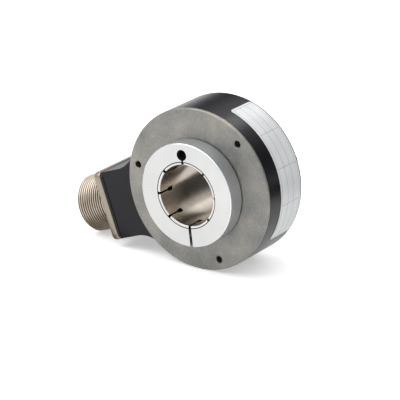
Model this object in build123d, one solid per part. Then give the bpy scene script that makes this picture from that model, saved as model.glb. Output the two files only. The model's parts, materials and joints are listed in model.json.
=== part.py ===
from build123d import *
from math import asin, atan, cos, degrees, hypot, radians, sin, sqrt
import os

os.makedirs("parts", exist_ok=True)

# Hollow-shaft optical rotary encoder with a clamping collet and a side connector.
# Millimetres. The bore's axis is Y and its front, with the collet, faces -Y.
# The front flange's face is at y = 0, and +Z is up as the part lies on its rim.
# Sizes grow outwards from the bore, and backwards from the flange's face.

# Hollow shaft and its slotted collet
bore_radius = 15.0
shaft_wall = 2.5
collet_wall = 1.35
collet_projection = 9.5
collet_length = 10.4
collet_slot_count = 8
collet_slot_width = 0.8
collet_slot_depth = 10.0
slot_foot_width = 1.8
slot_foot_length = 3.2
shaft_edge_break = 0.3

# Clamp ring, split on one side and relieved on the other
clamp_ring_wall = 8.93
clamp_ring_gap = 0.12
clamp_face_gap = 0.4
clamp_ring_chamfer = 0.3
clamp_split_width = 1.5
clamp_split_turn = 76.8
relief_hole_radius = 2.7
relief_hole_wall = 0.53
relief_slit_width = 1.0
clamp_screw_radius = 1.5
clamp_head_radius = 2.75
clamp_head_height = 3.0
clamp_head_depth = 4.0
clamp_screw_reach = 8.0
clamp_screw_cover = 1.4
socket_radius_share = 0.52
socket_depth_share = 0.55

# Ball bearings on the shaft
bearing_width = 7.0
bearing_section = 6.0
bearing_ring_thickness = 1.8
bearing_gap = 2.0
ball_radius = 1.985
ball_count = 12
race_clearance = 0.045
cage_thickness = 1.5
cage_width = 5.4
cage_clearance = 0.12
ring_fit = 0.02

# Seals and retaining rings
seal_width = 2.2
seal_section = 4.5
seal_run_clearance = 0.05
seal_recess = 0.3
seal_lip_depth = 1.2
seal_lip_width = 0.88
rear_seal_recess = 0.4
shoulder_thickness = 1.2
shoulder_ring_overlap = 0.9
retaining_ring_thickness = 1.0
retaining_ring_play = 0.1
retaining_groove_depth = 0.7
retaining_ring_section = 2.4
retaining_ring_opening = 5.0

# Bearing hub, front flange and its tapped holes
hub_wall = 2.8
hub_lip = 1.1
rim_thickness = 1.5
rim_chamfer = 0.6
seam_width = 0.25
seam_depth = 0.6
web_thickness = 5.0
spigot_width = 7.9
spigot_clearance = 0.1
tether_hole_radius = 1.65
tether_edge_distance = 5.0
tether_hole_depth = 6.0
tether_countersink = 0.35
o_ring_radius = 0.9
o_ring_squeeze_gap = 0.04
groove_side_wall = 0.8

# Code disc and the sensor that reads it
disc_collar_length = 3.2
disc_collar_height = 1.9
disc_track_width = 2.7
disc_thickness = 1.0
disc_clamp_length = 2.0
disc_clamp_height = 3.0
disc_edge_room = 1.2
scan_gap = 0.6
mask_thickness = 0.8
detector_height = 2.4
detector_length = 4.2
detector_width = 9.0
board_thickness = 1.6
board_hub_gap = 0.5
board_edge_room = 1.5
holder_width = 10.0
holder_post_length = 3.8
holder_post_gap = 0.8
holder_arm_thickness = 2.0
lamp_radius = 1.6
lamp_height = 2.5
lamp_cover = 0.4
mask_side_border = 0.6
mask_end_border = 0.3
holder_chamfer = 0.8
board_screw_radius = 1.25
board_screw_head_radius = 2.2
board_screw_head_height = 1.6
board_screw_clearance = 0.15
board_screw_inset = 1.0
board_post_radius = 2.8
board_boss_clearance = 0.6
chip_turns = (130, 165, 205, 235, 315, 338)
chip_length = 4.0
chip_width = 5.5
chip_height = 1.2
chip_inset = 0.5
header_length = 4.0
header_height = 3.0
header_edge_gap = 1.0
header_end_wall = 1.0
header_slot_height = 1.6
header_slot_depth = 2.5
disc_clamp_chamfer = 0.5

# Rear housing
housing_wall = 2.0
rear_wall = 2.3
rear_bevel = 5.6
holder_rear_room = 3.7
cover_boss_radius = 3.8
cover_boss_overlap = 0.2
cover_screw_radius = 1.5
cover_head_radius = 2.75
cover_head_height = 2.6
cover_head_clearance = 0.3
rear_hub_wall = 2.5
rear_hole_clearance = 1.0
cover_screw_grip = 6.0
cover_pocket_depth = 5.3
shaft_tail = 0.7

# Neck that carries the connector
neck_half_width = 17.0
neck_length = 15.5
neck_root_radius = 15.5
neck_wall = 2.0
neck_end_wall = 6.0
neck_edge_break = 0.4
neck_overlap = 1.0
neck_window_half_width = 12.0
gasket_thickness = 0.8
gasket_inset = 0.8

# Connector
connector_flange_thickness = 3.5
connector_corner_radius = 3.2
connector_thread_radius = 14.2875
connector_thread_pitch = 25.4 / 18
connector_barrel_length = 19.2
thread_relief = 1.0
thread_run_out = 0.3
thread_groove_width = 1.06
thread_groove_depth = 0.6
connector_barrel_wall = 2.0
connector_mouth_chamfer = 1.4
connector_screw_spacing = 26.97
connector_screw_edge = 3.98
connector_screw_radius = 1.5
connector_screw_head_radius = 2.7
connector_screw_clearance = 0.15
connector_screw_head_depth = 1.6
connector_screw_length = 8.0
connector_tail_length = 8.0
connector_tail_clearance = 0.3
connector_tail_wall = 1.3
insert_recess = 13.0
insert_tail_gap = 0.5
pin_radius = 0.8
pin_reach = 6.0
pin_circle_radius = 7.2
pin_outer_count = 8
pin_inner_offset = 2.5
pin_tip_length = 0.6
pin_tip_narrowing = 0.5
pin_board_inset = 0.1
connector_board_inset = 0.2875
connector_board_thickness = 1.2
connector_board_gap = 0.4
ribbon_thickness = 0.3
ribbon_width = 10.0
ribbon_bend_radius = 3.0
ribbon_run = 3.0
ribbon_end_gap = 0.1

# Label on the rim
label_front_y = 10.8
label_height = 17.1
label_start_turn = 126.8
label_sweep = 106.5
label_thickness = 0.15
label_gap = 0.02

# General fits
seat_gap = 0.02
screw_gap = 0.03
thread_reach = 6.0
pocket_gap = 0.3

# Places along the axis
collet_front_y = -collet_projection
collet_rear_y = collet_front_y + collet_length
clamp_rear_y = -clamp_face_gap
front_seal_y = collet_rear_y + seal_recess
shoulder_y = front_seal_y + seal_width
front_bearing_y = shoulder_y + shoulder_thickness
spacer_y = front_bearing_y + bearing_width
rear_bearing_y = spacer_y + bearing_gap
shaft_shoulder_y = rear_bearing_y + bearing_width
hub_rear_y = shaft_shoulder_y + retaining_ring_thickness + retaining_ring_play + hub_lip
disc_front_y = shaft_shoulder_y + disc_collar_length
disc_rear_y = disc_front_y + disc_thickness
mask_rear_y = disc_front_y - scan_gap
detector_rear_y = mask_rear_y - mask_thickness
board_rear_y = detector_rear_y - detector_height
board_front_y = board_rear_y - board_thickness
lamp_front_y = disc_rear_y + scan_gap
holder_rear_y = lamp_front_y + lamp_height + lamp_cover
housing_front_y = rim_thickness + seam_width
inner_rear_y = holder_rear_y + holder_rear_room
housing_rear_y = inner_rear_y + rear_wall
groove_front_y = tether_hole_depth + groove_side_wall
groove_rear_y = groove_front_y + 2 * o_ring_radius + 2 * o_ring_squeeze_gap
spigot_rear_y = groove_rear_y + groove_side_wall
rear_seal_front_y = housing_rear_y - rear_seal_recess - seal_width
shaft_rear_y = housing_rear_y + shaft_tail
connector_y = (housing_front_y + housing_rear_y) / 2
cover_head_seat_y = housing_rear_y - cover_pocket_depth

# Radii from the bore outwards
journal_radius = bore_radius + shaft_wall
collet_radius = bore_radius + collet_wall
clamp_bore_radius = collet_radius + clamp_ring_gap
clamp_ring_radius = clamp_bore_radius + clamp_ring_wall
clamp_screw_offset = clamp_bore_radius + clamp_screw_cover + clamp_head_radius + pocket_gap
pitch_radius = journal_radius + bearing_section / 2
bearing_outer_radius = journal_radius + bearing_section
seal_outer_radius = journal_radius + seal_section
hub_radius = bearing_outer_radius + hub_wall
disc_collar_radius = journal_radius + disc_collar_height
disc_radius = hub_radius + disc_track_width
cover_screw_circle = disc_radius + disc_edge_room + cover_boss_radius
housing_inner_radius = cover_screw_circle + cover_boss_radius + cover_boss_overlap
housing_radius = housing_inner_radius + housing_wall
spigot_radius = housing_inner_radius - spigot_clearance
spigot_inner_radius = spigot_radius - spigot_width
tether_circle_radius = housing_radius - tether_edge_distance
board_screw_circle = spigot_radius - spigot_width / 2 - board_screw_inset
board_inner_radius = hub_radius + board_hub_gap
board_outer_radius = housing_inner_radius - board_edge_room
sensor_radius = hub_radius + board_hub_gap + detector_length / 2
holder_post_radius = sensor_radius + detector_length / 2 + holder_post_gap

# Connector sizes and places along its own axis
connector_flange_side = connector_screw_spacing + 2 * connector_screw_edge
neck_end = housing_radius + neck_length
flange_inner = neck_end + gasket_thickness
flange_outer = flange_inner + connector_flange_thickness
barrel_end = flange_outer + connector_barrel_length
neck_cavity_end = neck_end - neck_end_wall
connector_tail_end = flange_inner - connector_tail_length
barrel_bore_radius = connector_thread_radius - connector_barrel_wall
tail_radius = barrel_bore_radius + connector_tail_wall
insert_front = barrel_end - insert_recess
connector_board_radius = barrel_bore_radius - connector_board_inset
connector_board_start = connector_tail_end - connector_board_thickness - connector_board_gap

# The part lies on its rim and on the outer edge of the connector's thread
thread_end = barrel_end - connector_mouth_chamfer
thread_edge = hypot(thread_end, connector_thread_radius)
rest_slope = degrees(asin(housing_radius / thread_edge) - atan(connector_thread_radius / thread_end))
connector_angle = 180.0 + rest_slope
tether_angles = [connector_angle + turn for turn in (-30, 90, 210)]
cover_angles = [connector_angle + turn for turn in (60, 180, 300)]
board_screw_angles = [connector_angle + turn for turn in (30, 150, 270)]
sensor_angle = connector_angle + 90
clamp_split_angle = connector_angle + clamp_split_turn


def turned(points):
    # A closed outline of (radius, y) points, turned about the bore's axis
    return revolve(make_face(Polyline(*points, close=True)), Axis.Y)


def ring(inner, outer, front, rear):
    return turned([(inner, front), (outer, front), (outer, rear), (inner, rear)])


def around(shape, angle):
    # Turns a piece that was built on the +X side to its angle in the XZ plane
    return Rot(0, -angle, 0) * shape


def rod(radius, front, rear, x=0.0, z=0.0):
    # A cylinder parallel to the bore's axis
    base = Plane(origin=(x, front, z), x_dir=(1, 0, 0), z_dir=(0, 1, 0))
    return base * Cylinder(radius, rear - front, align=(Align.CENTER, Align.CENTER, Align.MIN))


def block(x_from, x_to, y_from, y_to, z_from, z_to):
    middle = Pos((x_from + x_to) / 2, (y_from + y_to) / 2, (z_from + z_to) / 2)
    return middle * Box(x_to - x_from, y_to - y_from, z_to - z_from)


def side_turned(points, y=None, z=0.0):
    # A closed outline of (distance out, radius) points, turned about the connector's axis
    # or a line parallel to it
    offset = connector_y if y is None else y
    return Pos(0, offset, z) * revolve(make_face(Polyline(*points, close=True)), Axis.X)


def side_rod(radius, start, end, y=None, z=0.0):
    return side_turned([(start, 0), (end, 0), (end, radius), (start, radius)], y, z)


def side_plane(x):
    # Looks out along the connector's axis: its own x is Y and its own y is Z
    return Plane(origin=(x, connector_y, 0), x_dir=(0, 1, 0), z_dir=(1, 0, 0))


def front_plane(y):
    # Faces the front: its own x is X and its own y is Z
    return Plane(origin=(0, y, 0), x_dir=(1, 0, 0), z_dir=(0, -1, 0))


def cap_screw(shank_radius, head_radius, head_height, tip, seat, x):
    # A socket-head screw parallel to the bore's axis, with its head to the rear
    socket = Plane(origin=(x, seat + head_height, 0), x_dir=(1, 0, 0), z_dir=(0, -1, 0))
    hexagon = RegularPolygon(head_radius * socket_radius_share, 6)
    recess = extrude(socket * hexagon, head_height * socket_depth_share)
    return rod(shank_radius, tip, seat, x) + rod(head_radius, seat, seat + head_height, x) - recess


def circlip(inner, outer, front, thickness, opening_angle):
    # An open retaining ring with its gap at one angle
    gap = around(block(0, outer + 1, front - 1, front + thickness + 1,
                       -retaining_ring_opening / 2, retaining_ring_opening / 2), opening_angle)
    return ring(inner, outer, front, front + thickness) - gap


def make_hollow_shaft():
    groove_bottom = journal_radius - retaining_groove_depth
    groove_front = front_bearing_y - retaining_ring_thickness - retaining_ring_play
    outline = [
        (bore_radius + shaft_edge_break, collet_front_y),
        (collet_radius - shaft_edge_break, collet_front_y),
        (collet_radius, collet_front_y + shaft_edge_break),
        (collet_radius, collet_rear_y),
        (journal_radius, collet_rear_y),
        (journal_radius, groove_front),
        (groove_bottom, groove_front),
        (groove_bottom, front_bearing_y),
        (journal_radius, front_bearing_y),
        (journal_radius, shaft_shoulder_y),
        (disc_collar_radius, shaft_shoulder_y),
        (disc_collar_radius, disc_front_y),
        (journal_radius, disc_front_y),
        (journal_radius, shaft_rear_y - shaft_edge_break),
        (journal_radius - shaft_edge_break, shaft_rear_y),
        (bore_radius + shaft_edge_break, shaft_rear_y),
        (bore_radius, shaft_rear_y - shaft_edge_break),
        (bore_radius, collet_front_y + shaft_edge_break),
    ]
    shaft = turned(outline)
    slot_end = collet_front_y + collet_slot_depth
    slot = block(bore_radius - 2, journal_radius + 2, collet_front_y - 1, slot_end,
                 -collet_slot_width / 2, collet_slot_width / 2)
    foot = block(bore_radius - 2, journal_radius + 2, slot_end - slot_foot_length, slot_end,
                 -slot_foot_width / 2, slot_foot_width / 2)
    cutter = slot + foot
    for number in range(collet_slot_count):
        shaft -= around(cutter, clamp_split_angle + number * 360 / collet_slot_count)
    return shaft


def make_clamp_ring():
    body = turned([
        (clamp_bore_radius, collet_front_y),
        (clamp_ring_radius - clamp_ring_chamfer, collet_front_y),
        (clamp_ring_radius, collet_front_y + clamp_ring_chamfer),
        (clamp_ring_radius, clamp_rear_y - shaft_edge_break),
        (clamp_ring_radius - shaft_edge_break, clamp_rear_y),
        (clamp_bore_radius, clamp_rear_y),
    ])
    split = block(0, clamp_ring_radius + 1, collet_front_y - 1, clamp_rear_y + 1,
                  -clamp_split_width / 2, clamp_split_width / 2)
    relief_x = clamp_bore_radius + relief_hole_wall + relief_hole_radius
    relief = rod(relief_hole_radius, collet_front_y - 1, clamp_rear_y + 1, relief_x)
    relief += block(0, relief_x, collet_front_y - 1, clamp_rear_y + 1,
                    -relief_slit_width / 2, relief_slit_width / 2)
    screw_y = (collet_front_y + clamp_rear_y) / 2
    screw_line = Plane(origin=(clamp_screw_offset, screw_y, 0), x_dir=(0, 1, 0), z_dir=(0, 0, 1))
    bottom = (Align.CENTER, Align.CENTER, Align.MIN)
    top = (Align.CENTER, Align.CENTER, Align.MAX)
    body -= around(split, clamp_split_angle)
    body -= around(relief, clamp_split_angle + 180)
    body -= around(screw_line * Cylinder(clamp_screw_radius + screw_gap, clamp_screw_reach + 1, align=bottom),
                   clamp_split_angle)
    body -= around(screw_line * Cylinder(clamp_screw_radius + screw_gap, clamp_ring_radius, align=top),
                   clamp_split_angle)
    pocket = Pos(0, 0, -clamp_head_depth) * screw_line
    body -= around(pocket * Cylinder(clamp_head_radius + pocket_gap, clamp_ring_radius, align=top),
                   clamp_split_angle)
    return body


def make_clamp_screw():
    screw_y = (collet_front_y + clamp_rear_y) / 2
    screw_line = Plane(origin=(clamp_screw_offset, screw_y, 0), x_dir=(0, 1, 0), z_dir=(0, 0, 1))
    shank = Cylinder(clamp_screw_radius, clamp_head_depth + clamp_screw_reach,
                     align=(Align.CENTER, Align.CENTER, Align.MIN))
    head = Cylinder(clamp_head_radius, clamp_head_height, align=(Align.CENTER, Align.CENTER, Align.MAX))
    hexagon = RegularPolygon(clamp_head_radius * socket_radius_share, 6)
    socket = extrude(Pos(0, 0, -clamp_head_height) * hexagon, clamp_head_height * socket_depth_share)
    screw = Pos(0, 0, -clamp_head_depth) * (shank + head - socket)
    return around(screw_line * screw, clamp_split_angle)


def race_groove(front):
    groove = Torus(pitch_radius, ball_radius + race_clearance)
    return Pos(0, front + bearing_width / 2, 0) * Rot(90, 0, 0) * groove


def make_inner_ring(front):
    body = ring(journal_radius + ring_fit, journal_radius + bearing_ring_thickness,
                front, front + bearing_width)
    return body - race_groove(front)


def make_outer_ring(front):
    body = ring(bearing_outer_radius - bearing_ring_thickness, bearing_outer_radius - ring_fit,
                front, front + bearing_width)
    return body - race_groove(front)


def make_balls(front):
    ball = Pos(pitch_radius, front + bearing_width / 2, 0) * Sphere(ball_radius)
    return Compound(children=[around(ball, number * 360 / ball_count) for number in range(ball_count)])


def make_cage(front):
    middle = front + bearing_width / 2
    cage = ring(pitch_radius - cage_thickness / 2, pitch_radius + cage_thickness / 2,
                middle - cage_width / 2, middle + cage_width / 2)
    pocket = side_rod(ball_radius + cage_clearance, pitch_radius - cage_thickness,
                      pitch_radius + cage_thickness, middle)
    for number in range(ball_count):
        cage -= around(pocket, number * 360 / ball_count)
    return cage


def make_front_flange():
    groove_bottom = spigot_radius + spigot_clearance - 2 * o_ring_radius - 2 * o_ring_squeeze_gap
    retainer_front = shaft_shoulder_y
    retainer_rear = shaft_shoulder_y + retaining_ring_thickness + retaining_ring_play
    outline = [
        (seal_outer_radius, 0),
        (housing_radius - rim_chamfer, 0),
        (housing_radius, rim_chamfer),
        (housing_radius, rim_thickness),
        (housing_radius - seam_depth, rim_thickness),
        (housing_radius - seam_depth, housing_front_y),
        (spigot_radius, housing_front_y),
        (spigot_radius, groove_front_y),
        (groove_bottom, groove_front_y),
        (groove_bottom, groove_rear_y),
        (spigot_radius, groove_rear_y),
        (spigot_radius, spigot_rear_y),
        (spigot_inner_radius, spigot_rear_y),
        (spigot_inner_radius, web_thickness),
        (hub_radius, web_thickness),
        (hub_radius, hub_rear_y),
        (bearing_outer_radius, hub_rear_y),
        (bearing_outer_radius, retainer_rear),
        (bearing_outer_radius + retaining_groove_depth, retainer_rear),
        (bearing_outer_radius + retaining_groove_depth, retainer_front),
        (bearing_outer_radius, retainer_front),
        (bearing_outer_radius, front_bearing_y),
        (bearing_outer_radius - bearing_ring_thickness - shoulder_ring_overlap, front_bearing_y),
        (bearing_outer_radius - bearing_ring_thickness - shoulder_ring_overlap, shoulder_y),
        (seal_outer_radius, shoulder_y),
    ]
    flange = turned(outline)
    for angle in board_screw_angles:
        post = rod(board_post_radius, spigot_rear_y - 0.5, board_front_y, board_screw_circle)
        flange += around(post, angle)
    for angle in board_screw_angles:
        hole = rod(board_screw_radius + screw_gap, board_front_y - thread_reach, board_front_y + 1,
                   board_screw_circle)
        flange -= around(hole, angle)
    for angle in tether_angles:
        flange -= around(rod(tether_hole_radius, -1, tether_hole_depth, tether_circle_radius), angle)
        mouth = Plane(origin=(tether_circle_radius, 0, 0), x_dir=(1, 0, 0), z_dir=(0, 1, 0))
        countersink = Cone(tether_hole_radius + tether_countersink, tether_hole_radius, tether_countersink,
                           align=(Align.CENTER, Align.CENTER, Align.MIN))
        flange -= around(mouth * countersink, angle)
    for angle in cover_angles:
        hole = rod(cover_screw_radius + screw_gap, spigot_rear_y - cover_screw_grip - 0.5,
                   spigot_rear_y + 1, cover_screw_circle)
        flange -= around(hole, angle)
    return flange


def connector_screw_places():
    half = connector_screw_spacing / 2
    return [(connector_y + y_side * half, z_side * half) for y_side in (-1, 1) for z_side in (-1, 1)]


def neck_outline():
    # The round body and its neck in one outline, joined by a large root radius on each side
    root_reach = housing_radius + neck_root_radius
    root_z = neck_half_width + neck_root_radius
    root_x = sqrt(root_reach ** 2 - root_z ** 2)
    touch = (root_x * housing_radius / root_reach, root_z * housing_radius / root_reach)
    touch_angle = degrees(atan(root_z / root_x))
    middle_angle = radians((touch_angle + 180 + 270) / 2)
    middle = (root_x + neck_root_radius * cos(middle_angle), root_z + neck_root_radius * sin(middle_angle))
    start = (root_x, neck_half_width)
    corner = (neck_end, neck_half_width)
    upper = [ThreePointArc(touch, middle, start), Line(start, corner)]
    lower = [mirror(edge, Plane.XZ) for edge in upper]
    ends = [Line(corner, (corner[0], -corner[1])), Line(touch, (touch[0], -touch[1]))]
    neck = make_face(upper + lower + ends)
    return Circle(housing_radius) + neck


def make_rear_housing():
    body = extrude(front_plane(housing_rear_y) * neck_outline(), housing_rear_y - housing_front_y)
    rear_edges = body.faces().sort_by(Axis.Y)[-1].edges().sort_by(Axis.X)[:-1]
    body = chamfer(rear_edges, rear_bevel)
    rear_face_radius = housing_radius - rear_bevel
    neck_root = sqrt(rear_face_radius ** 2 - neck_half_width ** 2) - neck_overlap
    neck = block(neck_root, neck_end, housing_front_y, housing_rear_y,
                 -neck_half_width, neck_half_width)
    neck_edges = neck.edges().filter_by(Axis.X).group_by(Axis.Y)[-1]
    body += chamfer(neck_edges, neck_edge_break)
    inner_step = rear_bevel + (rear_wall - housing_wall) - housing_wall * (sqrt(2) - 2)
    inner_bevel = inner_rear_y - (housing_rear_y - rear_bevel - housing_wall * (sqrt(2) - 1))
    hub_outer = seal_outer_radius + rear_hub_wall
    hub_front = rear_seal_front_y - shoulder_thickness
    body -= turned([
        (0, housing_front_y - 1),
        (housing_inner_radius, housing_front_y - 1),
        (housing_inner_radius, inner_rear_y - inner_bevel),
        (housing_inner_radius - inner_bevel, inner_rear_y),
        (hub_outer, inner_rear_y),
        (hub_outer, hub_front),
        (0, hub_front),
    ])
    body -= rod(journal_radius + rear_hole_clearance, hub_front - 1, housing_rear_y)
    body -= rod(seal_outer_radius, rear_seal_front_y, housing_rear_y + 1)
    for angle in cover_angles:
        boss = rod(cover_boss_radius, spigot_rear_y, inner_rear_y, cover_screw_circle)
        body += around(boss, angle - connector_angle)
    for angle in cover_angles:
        pocket = rod(cover_head_radius + cover_head_clearance, cover_head_seat_y, housing_rear_y + 1,
                     cover_screw_circle)
        hole = rod(cover_screw_radius + screw_gap, spigot_rear_y - 1, cover_head_seat_y + 1,
                   cover_screw_circle)
        body -= around(pocket + hole, angle - connector_angle)
    body -= block(housing_radius + 1, neck_cavity_end, housing_front_y + neck_wall, inner_rear_y,
                  -neck_half_width + neck_wall, neck_half_width - neck_wall)
    body -= block(spigot_radius - 4, housing_radius + 2, spigot_rear_y + 1, inner_rear_y - 1,
                  -neck_window_half_width, neck_window_half_width)
    body -= side_rod(tail_radius + connector_tail_clearance, neck_cavity_end - 1, neck_end + 1)
    for y, z in connector_screw_places():
        body -= side_rod(connector_screw_radius + screw_gap, neck_end - connector_screw_length,
                         neck_end + 1, y, z)
    return around(body, connector_angle)


def make_cover_screws():
    screws = []
    for angle in cover_angles:
        screw = cap_screw(cover_screw_radius, cover_head_radius, cover_head_height,
                          spigot_rear_y - cover_screw_grip, cover_head_seat_y, cover_screw_circle)
        screws.append(around(screw, angle))
    return Compound(children=screws)


def make_o_ring():
    centre_radius = housing_inner_radius - o_ring_squeeze_gap - o_ring_radius
    middle = (groove_front_y + groove_rear_y) / 2
    return Pos(0, middle, 0) * Rot(90, 0, 0) * Torus(centre_radius, o_ring_radius)


def make_seal(front):
    # A lip seal: its outer case grips the pocket, and its lip stands just off the shaft
    inner = journal_radius + seal_run_clearance
    outer = seal_outer_radius - seat_gap
    return turned([
        (inner, front + seal_width / 2 - seal_lip_width / 2),
        (inner + seal_lip_depth, front),
        (outer, front),
        (outer, front + seal_width),
        (inner + seal_lip_depth, front + seal_width),
        (inner, front + seal_width / 2 + seal_lip_width / 2),
    ])


def make_sensor_board():
    board = ring(board_inner_radius, board_outer_radius, board_front_y, board_rear_y)
    for angle in cover_angles:
        notch = rod(cover_boss_radius + board_boss_clearance, board_front_y - 1, board_rear_y + 1,
                    cover_screw_circle)
        board -= around(notch, angle)
    for angle in board_screw_angles:
        hole = rod(board_screw_radius + board_screw_clearance, board_front_y - 1, board_rear_y + 1,
                   board_screw_circle)
        board -= around(hole, angle)
    return board


def make_board_screws():
    screws = []
    for angle in board_screw_angles:
        screw = cap_screw(board_screw_radius, board_screw_head_radius, board_screw_head_height,
                          board_front_y - thread_reach + 1, board_rear_y, board_screw_circle)
        screws.append(around(screw, angle))
    return Compound(children=screws)


def make_photodetector():
    half = detector_width / 2
    body = block(sensor_radius - detector_length / 2, sensor_radius + detector_length / 2,
                 board_rear_y, detector_rear_y, -half, half)
    return around(body, sensor_angle)


def make_scanning_mask():
    half = detector_width / 2 - mask_side_border
    reach = detector_length / 2 - mask_end_border
    body = block(sensor_radius - reach, sensor_radius + reach, detector_rear_y, mask_rear_y, -half, half)
    return around(body, sensor_angle)


def make_light_holder():
    half = holder_width / 2
    post_end = holder_post_radius + holder_post_length
    arm_front = holder_rear_y - holder_arm_thickness
    post = block(holder_post_radius, post_end, board_rear_y, holder_rear_y, -half, half)
    arm = block(sensor_radius - detector_length / 2, post_end, arm_front, holder_rear_y, -half, half)
    holder = chamfer((post + arm).edges().filter_by(Axis.Z).sort_by(Axis.X)[-1:], holder_chamfer)
    holder -= rod(lamp_radius + seat_gap, arm_front - 1, holder_rear_y + 1, sensor_radius)
    return around(holder, sensor_angle)


def make_light_emitter():
    body = rod(lamp_radius, lamp_front_y, lamp_front_y + lamp_height, sensor_radius)
    return around(body, sensor_angle)


def make_board_components():
    # Chips on the rear face of the board, at their turns from the connector
    middle = (board_inner_radius + board_outer_radius) / 2 - chip_inset
    chip = block(middle - chip_length / 2, middle + chip_length / 2, board_rear_y, board_rear_y + chip_height,
                 -chip_width / 2, chip_width / 2)
    return Compound(children=[around(chip, connector_angle + turn) for turn in chip_turns])


def make_board_header():
    half = ribbon_width / 2 + header_end_wall
    outer = board_outer_radius - header_edge_gap
    header = block(outer - header_length, outer, board_rear_y, board_rear_y + header_height, -half, half)
    slot_y = board_rear_y + header_slot_height
    header -= block(outer - header_slot_depth, outer + 1, slot_y - ribbon_thickness / 2 - seat_gap,
                    slot_y + ribbon_thickness / 2 + seat_gap, -ribbon_width / 2 - seat_gap,
                    ribbon_width / 2 + seat_gap)
    return around(header, connector_angle)


def make_flex_ribbon():
    # From the header straight out through the housing's window, then up the connector's little board
    ribbon_y = board_rear_y + header_slot_height
    start = board_outer_radius - header_edge_gap - header_slot_depth + ribbon_end_gap
    face = connector_board_start - seat_gap - ribbon_thickness / 2
    bend = ribbon_bend_radius
    inner = ribbon_thickness / 2
    outer_arc = bend + inner
    inner_arc = bend - inner
    centre = (face - bend, ribbon_y + bend)
    turn = radians(-45)
    outline = [
        Line((start, ribbon_y - inner), (face - bend, ribbon_y - inner)),
        ThreePointArc((face - bend, ribbon_y - inner),
                      (centre[0] + outer_arc * cos(turn), centre[1] + outer_arc * sin(turn)),
                      (face + inner, centre[1])),
        Line((face + inner, centre[1]), (face + inner, centre[1] + ribbon_run)),
        Line((face + inner, centre[1] + ribbon_run), (face - inner, centre[1] + ribbon_run)),
        Line((face - inner, centre[1] + ribbon_run), (face - inner, centre[1])),
        ThreePointArc((face - inner, centre[1]),
                      (centre[0] + inner_arc * cos(turn), centre[1] + inner_arc * sin(turn)),
                      (face - bend, ribbon_y + inner)),
        Line((face - bend, ribbon_y + inner), (start, ribbon_y + inner)),
        Line((start, ribbon_y + inner), (start, ribbon_y - inner)),
    ]
    ribbon = Pos(0, 0, -ribbon_width / 2) * extrude(make_face(outline), ribbon_width)
    return around(ribbon, connector_angle)


def pin_places():
    places = []
    for number in range(pin_outer_count):
        turn = radians(number * 360 / pin_outer_count)
        places.append((connector_y + pin_circle_radius * cos(turn), pin_circle_radius * sin(turn)))
    places.append((connector_y - pin_inner_offset, 0))
    places.append((connector_y + pin_inner_offset, 0))
    return places


def thread_outline():
    # The thread as ring grooves at its pitch, between the flange and the mouth's chamfer
    points = []
    start = flange_outer + thread_relief
    count = int((thread_end - thread_run_out - start) / connector_thread_pitch)
    for number in range(count):
        groove = start + number * connector_thread_pitch
        points += [
            (groove, connector_thread_radius),
            (groove + thread_groove_width / 2, connector_thread_radius - thread_groove_depth),
            (groove + thread_groove_width, connector_thread_radius),
        ]
    return points


def make_connector_shell():
    shell = side_turned([
        (connector_tail_end, barrel_bore_radius),
        (connector_tail_end, tail_radius),
        (flange_inner + connector_flange_thickness / 2, tail_radius),
        (flange_inner + connector_flange_thickness / 2, connector_thread_radius),
        *thread_outline(),
        (thread_end, connector_thread_radius),
        (barrel_end, connector_thread_radius - connector_mouth_chamfer),
        (barrel_end, barrel_bore_radius),
    ])
    plate = extrude(side_plane(flange_inner) * RectangleRounded(
        connector_flange_side, connector_flange_side, connector_corner_radius), connector_flange_thickness)
    shell += plate - side_rod(barrel_bore_radius, flange_inner - 1, flange_outer + 1)
    hole_radius = connector_screw_radius + connector_screw_clearance
    for y, z in connector_screw_places():
        shell -= side_rod(hole_radius, flange_inner - 1, flange_outer + 1, y, z)
        shell -= side_turned([
            (flange_outer - connector_screw_head_depth - seat_gap, 0),
            (flange_outer - connector_screw_head_depth - seat_gap, connector_screw_radius),
            (flange_outer + 0.01, connector_screw_head_radius + screw_gap),
            (flange_outer + 0.01, 0),
        ], y, z)
    return around(shell, connector_angle)


def make_connector_screws():
    screws = []
    for y, z in connector_screw_places():
        screw = side_turned([
            (neck_end - connector_screw_length + 0.5, 0),
            (neck_end - connector_screw_length + 0.5, connector_screw_radius),
            (flange_outer - connector_screw_head_depth, connector_screw_radius),
            (flange_outer, connector_screw_head_radius),
            (flange_outer, 0),
        ], y, z)
        screws.append(around(screw, connector_angle))
    return Compound(children=screws)


def make_connector_gasket():
    side = connector_flange_side - 2 * gasket_inset
    outline = RectangleRounded(side, side, connector_corner_radius - gasket_inset)
    gasket = extrude(side_plane(neck_end) * outline, gasket_thickness)
    gasket -= side_rod(tail_radius + connector_tail_clearance, neck_end - 1, flange_inner + 1)
    hole_radius = connector_screw_radius + connector_screw_clearance
    for y, z in connector_screw_places():
        gasket -= side_rod(hole_radius, neck_end - 1, flange_inner + 1, y, z)
    return around(gasket, connector_angle)


def make_connector_insert():
    insert = side_rod(barrel_bore_radius - seat_gap, connector_tail_end + insert_tail_gap, insert_front)
    for y, z in pin_places():
        insert -= side_rod(pin_radius + seat_gap, connector_tail_end - 1, insert_front + 1, y, z)
    return around(insert, connector_angle)


def make_connector_pins():
    pins = []
    for y, z in pin_places():
        pin = side_turned([
            (connector_board_start + pin_board_inset, 0),
            (connector_board_start + pin_board_inset, pin_radius),
            (insert_front + pin_reach - pin_tip_length, pin_radius),
            (insert_front + pin_reach, pin_radius - pin_tip_narrowing),
            (insert_front + pin_reach, 0),
        ], y, z)
        pins.append(around(pin, connector_angle))
    return Compound(children=pins)


def make_connector_board():
    board = side_rod(connector_board_radius, connector_board_start,
                     connector_board_start + connector_board_thickness)
    for y, z in pin_places():
        board -= side_rod(pin_radius + seat_gap, connector_board_start - 1, connector_tail_end, y, z)
    return around(board, connector_angle)


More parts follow.
